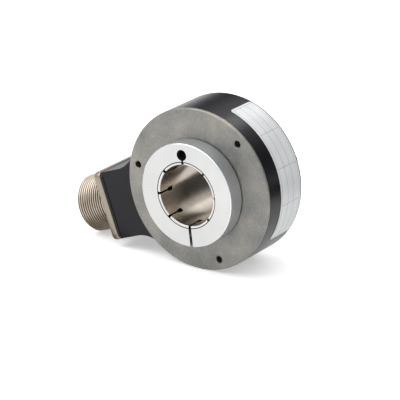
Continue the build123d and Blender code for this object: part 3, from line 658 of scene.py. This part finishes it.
def makeSlotCutter(sizes):
    # one closed prism along +X: a wide mouth, a narrow slot and a wide square foot
    end = colletFront + sizes["slotDepth"]
    half = {key: sizes[key] / 2 for key in ("slotWidth", "mouthWidth", "footWidth")}
    mouth = colletFront + sizes["mouthDepth"]
    foot = end - sizes["footLength"]
    side = [(colletFront - overshoot, half["mouthWidth"]), (mouth, half["mouthWidth"]),
            (mouth, half["slotWidth"]), (foot, half["slotWidth"]),
            (foot, half["footWidth"]), (end, half["footWidth"])]
    outline = side + [(y, -z) for y, z in reversed(side)]
    count = len(outline)
    inner = boreRadius - sizes["reach"]
    outer = colletRadius + sizes["reach"]
    points = [(x, y, z) for x in (inner, outer) for y, z in outline]
    faces = [tuple(range(count)), tuple(reversed(range(count, 2 * count)))]
    for step in range(count):
        after = (step + 1) % count
        faces.append((step, step + count, after + count, after))
    mesh = meshFrom("slotCutter", points, faces)
    tidyMesh(mesh)
    return addObject("slotCutter", mesh)


def shadeBoreRound(mesh, margin):
    # the cut leaves long faces on the bore, so their corners get the bore's own normals
    normals = [(0.0, 0.0, 0.0)] * len(mesh.loops)
    for face in mesh.polygons:
        places = [mesh.vertices[index].co for index in face.vertices]
        if all(abs(sqrt(place.x ** 2 + place.z ** 2) - boreRadius) < margin for place in places):
            for loop, place in zip(face.loop_indices, places):
                normals[loop] = (-place.x / boreRadius, 0.0, -place.z / boreRadius)
    mesh.normals_split_custom_set(normals)


def makeShaft(sizes):
    cutter = makeSlotCutter(sizes)
    cutters = addObject("slotCutters", bpy.data.meshes.new("slotCutters"))
    runTree(cutters, aroundAxisTree(), {"Piece": cutter, "Count": sizes["slots"], "First": splitAngle,
                                        "Step": 2 * pi / sizes["slots"], "Material": shaftMetal})
    bpy.data.objects.remove(cutter)
    shaft = addObject("slottedShaft", frame["nodes"]["hollow_shaft"].data.copy())
    tidyMesh(shaft.data)
    cutWith(shaft, [cutters])
    tidyMesh(shaft.data)
    shadeBoreRound(shaft.data, sizes["boreMargin"])
    giveMaterial(shaft, shaftMetal)
    return shaft


slottedShaft = makeShaft(colletSizes)
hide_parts("hollow_shaft")
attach(slottedShaft, "rotor")
print("collet made")


# Connector shell, with its thread cut

shellSizes = {
    "flangeThickness": 3.5 * mm,
    "tailLength": 8.0 * mm,
    "tailInset": 0.7 * mm,
    "wall": 2.0 * mm,
    "mouthChamfer": 1.4 * mm,
    "mouthEdge": 0.3 * mm,
    "threadPitch": 25.4 * mm / 18,
    "flatCrest": 0.25,
    "threadRelief": 1.2 * mm,
    "reliefLag": 0.4,
    "fadeOut": 1.6,
    "rowsPerPitch": 12,
    "chamferSteps": 8,
    "firstRow": 0.5 * mm,
    "segments": 192,
    "cornerRadius": 3.2 * mm,
    "cornerSteps": 10,
    "edgeRounding": 0.35 * mm,
    "edgeKnee": 0.3,
    "holeInset": 0.8 * mm,
    "holeSegments": 128,
    "screwSpacing": 26.97 * mm,
    "screwHoleRadius": 1.65 * mm,
    "screwHeadRadius": 2.75 * mm,
    "screwHeadDepth": 1.62 * mm,
    "screwHoleSegments": 48,
}
flangeOuter = threadStart
flangeInner = flangeOuter - shellSizes["flangeThickness"]
tailEnd = flangeInner - shellSizes["tailLength"]
wallEnd = threadStart + threadLength


def screwCentres(spacing):
    half = spacing / 2
    return [(ySide * half + connectorY, zSide * half) for ySide in (-1, 1) for zSide in (-1, 1)]


def threadShare(sizes, along):
    # how much of the thread's depth a row has: it grows out of the relief and fades on the chamfer
    fadeIn = (along - flangeOuter - sizes["threadRelief"] * sizes["reliefLag"]) / sizes["threadRelief"]
    fadeOut = 1.0 - sizes["fadeOut"] * (along - wallEnd) / sizes["mouthChamfer"]
    return max(0.0, min(1.0, fadeIn, fadeOut))


def makeBarrel(sizes):
    # rows of points follow the thread's helix, so that its crests and grooves run along the mesh
    bore = threadRadius - sizes["wall"]
    tail = threadRadius - sizes["tailInset"]
    mouth = wallEnd + sizes["mouthChamfer"]
    start = flangeInner + sizes["firstRow"]
    perPitch = sizes["rowsPerPitch"]
    spacing = sizes["threadPitch"] / perPitch
    helixRows = int((wallEnd - start) / spacing) + perPitch + 2
    before = [(tail, tailEnd), (tail, start)]
    chamfer = []
    for step in range(1, sizes["chamferSteps"] + 1):
        drop = sizes["mouthChamfer"] * step / sizes["chamferSteps"]
        chamfer.append((threadRadius - drop, wallEnd + drop))
    after = [(bore + sizes["mouthEdge"], mouth), (bore, mouth - sizes["mouthEdge"]), (bore, tailEnd)]
    count = len(before) + helixRows + len(chamfer) + len(after)
    points = []
    masks = []
    for segment in range(sizes["segments"]):
        turn = segment / sizes["segments"]
        across = (cos(2 * pi * turn), sin(2 * pi * turn))
        lag = sizes["threadPitch"] * turn
        helix = [(threadRadius, min(wallEnd, max(start, start + row * spacing - lag)))
                 for row in range(helixRows)]
        for radius, along in before + helix + chamfer + after:
            points.append((along, connectorY + radius * across[0], radius * across[1]))
        masks += [0.0] * len(before) + [threadShare(sizes, along) for radius, along in helix + chamfer]
        masks += [0.0] * len(after)
    faces = []
    firstRow = len(before)
    for segment in range(sizes["segments"]):
        here = segment * count
        onward = (segment + 1) % sizes["segments"] * count
        wraps = onward == 0
        for step in range(count):
            following = (step + 1) % count
            ends = []
            for place in (step, following):
                row = place - firstRow
                if wraps and 0 <= row < helixRows:
                    place = firstRow + max(row - perPitch, 0)
                    if row == helixRows - 1:
                        place = firstRow + helixRows - 1
                ends.append(place)
            corners = [here + step, here + following, onward + ends[1], onward + ends[0]]
            faces.append(tuple(dict.fromkeys(corners)))
    mesh = meshFrom("connectorBarrel", points, faces)
    attribute = mesh.attributes.new("threadMask", "FLOAT", "POINT")
    attribute.data.foreach_set("value", masks)
    barrel = addObject("connectorBarrel", mesh)
    runTree(barrel, threadTree(), {
        "Pitch": sizes["threadPitch"], "Depth": threadDepth, "Axis Height": connectorY,
        "Flat Crest": sizes["flatCrest"], "Material": connectorMetal})
    return barrel


def makePlate(sizes):
    # a rounded square with its edges broken, the barrel's hole and four countersunk holes
    low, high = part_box("connector_shell")
    half = (high.y - low.y) / 2
    corner = sizes["cornerRadius"]
    edge = sizes["edgeRounding"]
    knee = edge * sizes["edgeKnee"]
    layers = [(flangeInner, edge), (flangeInner + knee, knee), (flangeInner + edge, 0.0),
              (flangeOuter - edge, 0.0), (flangeOuter - knee, knee), (flangeOuter, edge)]
    steps = sizes["cornerSteps"]
    points = []
    for along, inset in layers:
        for quarter in range(4):
            for step in range(steps + 1):
                angle = (quarter + step / steps) * pi / 2
                centreY = (half - corner) * (1 if quarter in (0, 3) else -1)
                centreZ = (half - corner) * (1 if quarter in (0, 1) else -1)
                points.append((along, connectorY + centreY + (corner - inset) * cos(angle),
                               centreZ + (corner - inset) * sin(angle)))
    around = 4 * (steps + 1)
    faces = []
    for layer in range(len(layers) - 1):
        for step in range(around):
            after = (step + 1) % around
            faces.append((layer * around + step, layer * around + after,
                          (layer + 1) * around + after, (layer + 1) * around + step))
    faces.append(tuple(range(around)))
    faces.append(tuple((len(layers) - 1) * around + step for step in reversed(range(around))))
    mesh = meshFrom("connectorPlate", points, faces)
    tidyMesh(mesh)
    plate = addObject("connectorPlate", mesh)
    front = flangeInner - overshoot
    back = flangeOuter + overshoot
    radius = threadRadius - sizes["holeInset"]
    outline = [(0, front), (radius, front), (radius, back), (0, back)]
    hole = latheMesh("plateHole", outline, sizes["holeSegments"])
    hole.transform(Matrix.Translation((0, connectorY, 0)))
    tidyMesh(hole)
    cutters = [addObject("plateHole", hole)]
    outline = [(0, front), (sizes["screwHoleRadius"], front),
               (sizes["screwHoleRadius"], flangeOuter - sizes["screwHeadDepth"]),
               (sizes["screwHeadRadius"], flangeOuter), (sizes["screwHeadRadius"], back), (0, back)]
    for y, z in screwCentres(sizes["screwSpacing"]):
        screwHole = latheMesh("screwHole", outline, sizes["screwHoleSegments"])
        screwHole.transform(Matrix.Translation((0, y, z)))
        tidyMesh(screwHole)
        cutters.append(addObject("screwHole", screwHole))
    cutWith(plate, cutters)
    return plate


def joinObjects(name, objects):
    work = bmesh.new()
    for obj in objects:
        work.from_mesh(obj.data)
    mesh = bpy.data.meshes.new(name)
    work.to_mesh(mesh)
    work.free()
    for obj in objects:
        bpy.data.objects.remove(obj)
    return addObject(name, mesh)


shell = joinObjects("connectorShell", [makeBarrel(shellSizes), makePlate(shellSizes)])
shell.data.transform(aroundBore(connectorAngle))
tidyMesh(shell.data, sharpDegrees=50)
giveMaterial(shell, connectorMetal)
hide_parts("connector_shell")
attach(shell, "housing")
print("connector shell made")


# Countersunk screws that hold the connector, with a six-sided recess in each head

screwSizes = {
    "length": 11.8 * mm,
    "shankRadius": 1.5 * mm,
    "rootRadius": 1.3 * mm,
    "tipChamfer": 0.3 * mm,
    "pitch": 0.5 * mm,
    "threadLength": 6.0 * mm,
    "headRadius": 2.7 * mm,
    "headDepth": 1.6 * mm,
    "edge": 0.12 * mm,
    "segments": 48,
    "recessRadius": 1.15 * mm,
    "recessDepth": 1.1 * mm,
    "recessCone": 0.3 * mm,
    "recessSides": 6,
}


def makeScrew(sizes):
    seat = flangeOuter
    tip = seat - sizes["length"]
    shank = sizes["shankRadius"]
    profile = [(0, tip), (sizes["rootRadius"] - sizes["tipChamfer"], tip)]
    for turn in range(int(sizes["threadLength"] / sizes["pitch"])):
        start = tip + sizes["tipChamfer"] + turn * sizes["pitch"]
        profile += [(sizes["rootRadius"], start), (shank, start + sizes["pitch"] / 2)]
    head = sizes["headRadius"]
    profile += [(shank, start + sizes["pitch"]), (shank, seat - sizes["headDepth"]),
                (head, seat - sizes["edge"]), (head - sizes["edge"], seat), (0, seat)]
    mesh = latheMesh("countersunkScrew", profile, sizes["segments"])
    tidyMesh(mesh)
    screw = addObject("countersunkScrew", mesh)
    deep = seat - sizes["recessDepth"]
    top = seat + overshoot
    radius = sizes["recessRadius"]
    outline = [(0, deep - sizes["recessCone"]), (radius, deep), (radius, top), (0, top)]
    recess = latheMesh("recess", outline, sizes["recessSides"])
    tidyMesh(recess)
    cutWith(screw, [addObject("recess", recess)])
    return screw


def makeConnectorScrews(sizes):
    screw = makeScrew(sizes)
    carrier = addObject("connectorScrews", meshFrom("connectorScrews", [
        (0, y, z) for y, z in screwCentres(shellSizes["screwSpacing"])], []))
    runTree(carrier, copiesTree(), {"Piece": screw, "Material": steelMetal})
    bpy.data.objects.remove(screw)
    carrier.data.transform(aroundBore(connectorAngle))
    tidyMesh(carrier.data, sharpDegrees=40)
    giveMaterial(carrier, steelMetal)
    return carrier


connectorScrews = makeConnectorScrews(screwSizes)
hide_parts("connector_screws")
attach(connectorScrews, "housing")
print("connector screws made")


# Blank label on the rim, with plain rules only

labelSizes = {
    "cornerRadius": 1.6 * mm,
    "thickness": 0.12 * mm,
    "gap": 0.02 * mm,
    "columns": 160,
    "startTurn": radians(126.8),
    "sweep": radians(106.5),
    "border": 1.2 * mm,
    "ruleHalfWidth": 0.13 * mm,
    "ruleColumns": 4,
    "ruleRows": 3,
    "filmDark": (0.66, 0.68, 0.69),
    "filmLight": (0.74, 0.75, 0.75),
    "ruleGrey": (0.36, 0.37, 0.38),
    "patchScale": 70.0,
    "roughness": 0.35,
}


def makeLabel(sizes):
    # a thin film bent round the rim, with columns of points packed at its rounded ends
    low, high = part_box("rim_label")
    front, rear = low.y, high.y
    inner = rimRadius + sizes["gap"]
    outer = inner + sizes["thickness"]
    start = connectorAngle + sizes["startTurn"]
    length = sizes["sweep"] * outer
    corner = sizes["cornerRadius"]
    points = []
    places = []
    for step in range(sizes["columns"] + 1):
        share = (1 - cos(pi * step / sizes["columns"])) / 2
        places.append(share * length)
    for along in places:
        fromEnd = min(along, length - along)
        trim = corner - sqrt(max(0.0, corner ** 2 - max(0.0, corner - fromEnd) ** 2))
        angle = start + along / outer
        for radius, y in ((outer, front + trim), (outer, rear - trim),
                          (inner, rear - trim), (inner, front + trim)):
            points.append((radius * cos(angle), y, radius * sin(angle)))
    faces = []
    for step in range(sizes["columns"]):
        for side in range(4):
            after = (side + 1) % 4
            faces.append((step * 4 + side, step * 4 + after, (step + 1) * 4 + after, (step + 1) * 4 + side))
    faces.append((0, 1, 2, 3))
    last = sizes["columns"] * 4
    faces.append((last + 3, last + 2, last + 1, last))
    mesh = meshFrom("rimLabel", points, faces)
    tidyMesh(mesh)
    return addObject("rimLabel", mesh)


def makeRuledField():
    # thin plain rules on a film wrapped about Y: along the rim, across it, and a border
    group, given, leave = shaderGroup(
        "ruledField",
        [("Vector", "NodeSocketVector", None)] + [(label, "NodeSocketFloat", None) for label in (
            "Radius", "Start", "Length", "Front", "Height", "Border", "Line", "Columns", "Rows")],
        [("Fac", "NodeSocketFloat")])
    split = splitVector(group, given["Vector"])
    angle = mathNode(group, "ARCTAN2", split["Z"], split["X"])
    along = mathNode(group, "MULTIPLY", mathNode(group, "SUBTRACT", angle, given["Start"]),
                     given["Radius"])
    across = mathNode(group, "SUBTRACT", split["Y"], given["Front"])
    marks = []
    inside = []
    for place, size, parts in ((along, "Length", "Columns"), (across, "Height", "Rows")):
        fromBorder = mathNode(group, "SUBTRACT", place, given["Border"])
        borders = mathNode(group, "MULTIPLY", given["Border"], 2.0)
        room = mathNode(group, "SUBTRACT", given[size], borders)
        cell = mathNode(group, "DIVIDE", room, given[parts])
        cells = mathNode(group, "ROUND", mathNode(group, "DIVIDE", fromBorder, cell))
        fromRule = mathNode(group, "SUBTRACT", fromBorder, mathNode(group, "MULTIPLY", cells, cell))
        distance = mathNode(group, "ABSOLUTE", fromRule)
        marks.append(mathNode(group, "LESS_THAN", distance, given["Line"]))
        lineBack = mathNode(group, "MULTIPLY", given["Line"], -1.0)
        after = mathNode(group, "GREATER_THAN", fromBorder, lineBack)
        before = mathNode(group, "LESS_THAN", fromBorder, mathNode(group, "ADD", room, given["Line"]))
        inside.append(mathNode(group, "MULTIPLY", after, before))
    anyRule = mathNode(group, "MAXIMUM", *marks)
    both = mathNode(group, "MULTIPLY", anyRule, mathNode(group, "MULTIPLY", *inside))
    group.links.new(both, leave.inputs["Fac"])
    return group


def makeLabelFilm(sizes):
    material, shader, vector = startMaterial("labelFilm")
    low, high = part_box("rim_label")
    startAngle = (connectorAngle + sizes["startTurn"] + pi) % (2 * pi) - pi
    patches = placeGroup(material, softClouding, vector, Scale=sizes["patchScale"])
    film = mixColours(material, patches, sizes["filmDark"], sizes["filmLight"])
    rules = placeGroup(material, makeRuledField(), vector, Radius=rimRadius, Start=startAngle,
                       Length=sizes["sweep"] * rimRadius, Front=low.y, Height=high.y - low.y,
                       Border=sizes["border"], Line=sizes["ruleHalfWidth"],
                       Columns=sizes["ruleColumns"], Rows=sizes["ruleRows"])
    colour = mixColours(material, rules, film, sizes["ruleGrey"])
    material.node_tree.links.new(colour, shader.inputs["Base Color"])
    shader.inputs["Roughness"].default_value = sizes["roughness"]
    return material


label = makeLabel(labelSizes)
giveMaterial(label, makeLabelFilm(labelSizes))
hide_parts("rim_label")
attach(label, "housing")
print("label made")


# Stage, light and camera

def seenRays(tree):
    # 1 where the camera looks, straight or by way of metal and glass
    rays = tree.nodes.new("ShaderNodeLightPath").outputs
    reflected = mathNode(tree, "MAXIMUM", rays["Is Glossy Ray"], rays["Is Transmission Ray"])
    return mathNode(tree, "MAXIMUM", rays["Is Camera Ray"], reflected)


def stageMaterial(name, look):
    material = bpy.data.materials.new(name)
    material.use_nodes = True
    shader = material.node_tree.nodes["Principled BSDF"]
    shader.inputs["Base Color"].default_value = look["base"]
    shader.inputs["Roughness"].default_value = look["roughness"]
    return material, shader


floorLook = {"reach": 6.0, "base": (0.86, 0.86, 0.86, 1), "roughness": 0.9, "specular": 0.1, "lift": 0.45}


def makeFloor(look):
    # white paper that catches the shadow, lifted a little to the eye and in reflections
    reach = look["reach"]
    corners = [(x * reach, y * reach, floorZ) for x, y in ((-1, -1), (1, -1), (1, 1), (-1, 1))]
    floor = addObject("floor", meshFrom("floor", corners, [(0, 1, 2, 3)]))
    material, shader = stageMaterial("floorPaper", look)
    tree = material.node_tree
    shader.inputs["Specular IOR Level"].default_value = look["specular"]
    shader.inputs["Emission Color"].default_value = (1, 1, 1, 1)
    lift = mathNode(tree, "MULTIPLY", seenRays(tree), look["lift"])
    tree.links.new(lift, shader.inputs["Emission Strength"])
    giveMaterial(floor, material)


skyLight = {"horizon": 0.05, "ceiling": 1.45, "from": 0.38, "to": 0.66}


def makeWorld(sky):
    # white to look at; as light, a bright ceiling over a dim horizon
    world = bpy.data.worlds.new("studio")
    scene.world = world
    world.use_nodes = True
    tree = world.node_tree
    background = tree.nodes["Background"]
    coordinates = tree.nodes.new("ShaderNodeTexCoord")
    split = splitVector(tree, coordinates.outputs["Generated"])
    rise = tree.nodes.new("ShaderNodeMapRange")
    rise.interpolation_type = "SMOOTHSTEP"
    tree.links.new(split["Z"], rise.inputs["Value"])
    rise.inputs["From Min"].default_value = sky["from"]
    rise.inputs["From Max"].default_value = sky["to"]
    rise.inputs["To Min"].default_value = sky["horizon"]
    rise.inputs["To Max"].default_value = sky["ceiling"]
    seen = seenRays(tree)
    unseen = mathNode(tree, "SUBTRACT", 1.0, seen)
    level = mathNode(tree, "ADD", mathNode(tree, "MULTIPLY", rise.outputs[0], unseen), seen)
    background.inputs["Color"].default_value = (1, 1, 1, 1)
    tree.links.new(level, background.inputs["Strength"])


keyLight = {"place": (-0.6, -0.5, 0.9), "side": 0.7, "power": 4.0}


def makeLamp(name, light):
    # a square softbox aimed at the object
    data = bpy.data.lights.new(name, "AREA")
    data.shape = "SQUARE"
    data.size = light["side"]
    data.energy = light["power"]
    lamp = addObject(name, data)
    lamp.location = light["place"]
    lamp.rotation_euler = (-Vector(light["place"])).to_track_quat("-Z", "Y").to_euler()
    lamp.visible_camera = False


# Cards and softboxes that only reflections show, as painted reflections; each is flat along Y or along Z.
# The dark and grey ones put painted shade into metal and glass, and the bright ones painted highlights.
cardGrey = (1.0, 0.9, 0.8, 1)
cardWhite = (1.0, 1.0, 1.0, 1)
paintedCard = {"base": (0.02, 0.02, 0.02, 1), "roughness": 0.9}
cards = {
    # a dark sheet behind the object: painted shade of the floor there, seen only in reflections
    "lowCard": {"glow": 0.02, "colour": cardGrey,
                "x": (-60 * mm, 600 * mm), "y": (120 * mm, 120 * mm), "z": (floorZ, 0.0)},
    "leftCard": {"glow": 0.85, "colour": cardWhite,
                 "x": (-300 * mm, -40 * mm), "y": (100 * mm, 100 * mm), "z": (floorZ, 0.0)},
    "farCard": {"glow": 0.02, "colour": cardGrey, "x": (-1.55, 2.5), "y": (2.0, 2.0), "z": (-20 * mm, 1.3)},
    # a grey sheet on the floor under the connector: painted shadow, seen only in reflections
    "threadCard": {"glow": 0.35, "colour": cardGrey, "x": (-120 * mm, -50 * mm), "y": (-12 * mm, 35 * mm),
                   "z": (floorZ + 0.5 * mm, floorZ + 0.5 * mm)},
    "farSoftbox": {"glow": 1.6, "colour": cardWhite, "x": (-1.3, 0.3), "y": (2.0, 2.0), "z": (1.31, 1.9)},
    "rimSoftbox": {"glow": 5.0, "colour": cardWhite,
                   "x": (-25 * mm, 42 * mm), "y": (200 * mm, 200 * mm), "z": (170 * mm, 230 * mm)},
    "topSoftbox": {"glow": 2.5, "colour": cardWhite, "x": (-0.6, 0.35), "y": (-0.45, 0.25), "z": (0.6, 0.6)},
}


def makeCard(name, look):
    (left, right), (near, far), (low, high) = look["x"], look["y"], look["z"]
    if near == far:
        corners = [(left, near, low), (right, near, low), (right, near, high), (left, near, high)]
    else:
        corners = [(left, near, low), (left, far, low), (right, far, low), (right, near, low)]
    card = addObject(name, meshFrom(name, corners, [(0, 1, 2, 3)]))
    material, shader = stageMaterial(name, paintedCard)
    shader.inputs["Emission Color"].default_value = look["colour"]
    shader.inputs["Emission Strength"].default_value = look["glow"]
    giveMaterial(card, material)
    card.visible_camera = False
    card.visible_diffuse = False
    card.visible_shadow = False


photoView = {"azimuth": 34.391, "elevation": 20.252, "roll": -0.493, "distance": 1147.9 * mm,
             "right": 1.199 * mm, "up": -4.803 * mm, "lens": 218.57, "sensor": 36.0,
             "clip": (0.01, 50.0)}


def makeCamera(view):
    # the photograph's own view: a long lens, turned and raised as these angles say
    azimuth, elevation, roll = (radians(view[key]) for key in ("azimuth", "elevation", "roll"))
    back = Vector((sin(azimuth) * cos(elevation), -cos(azimuth) * cos(elevation), sin(elevation)))
    right = (-back).cross(Vector((0, 0, 1))).normalized()
    up = right.cross(-back)
    cameraX = cos(roll) * right + sin(roll) * up
    cameraY = -sin(roll) * right + cos(roll) * up
    data = bpy.data.cameras.new("camera")
    data.lens = view["lens"]
    data.sensor_width = view["sensor"]
    data.clip_start, data.clip_end = view["clip"]
    camera = addObject("camera", data)
    turn = Matrix((cameraX, cameraY, back)).transposed().to_4x4()
    place = right * view["right"] + up * view["up"] + back * view["distance"]
    camera.matrix_world = Matrix.Translation(place) @ turn
    scene.camera = camera


makeFloor(floorLook)
makeWorld(skyLight)
makeLamp("keyLamp", keyLight)
for cardName, cardLook in cards.items():
    makeCard(cardName, cardLook)
makeCamera(photoView)
scene.view_settings.view_transform = "Standard"
print("stage made")
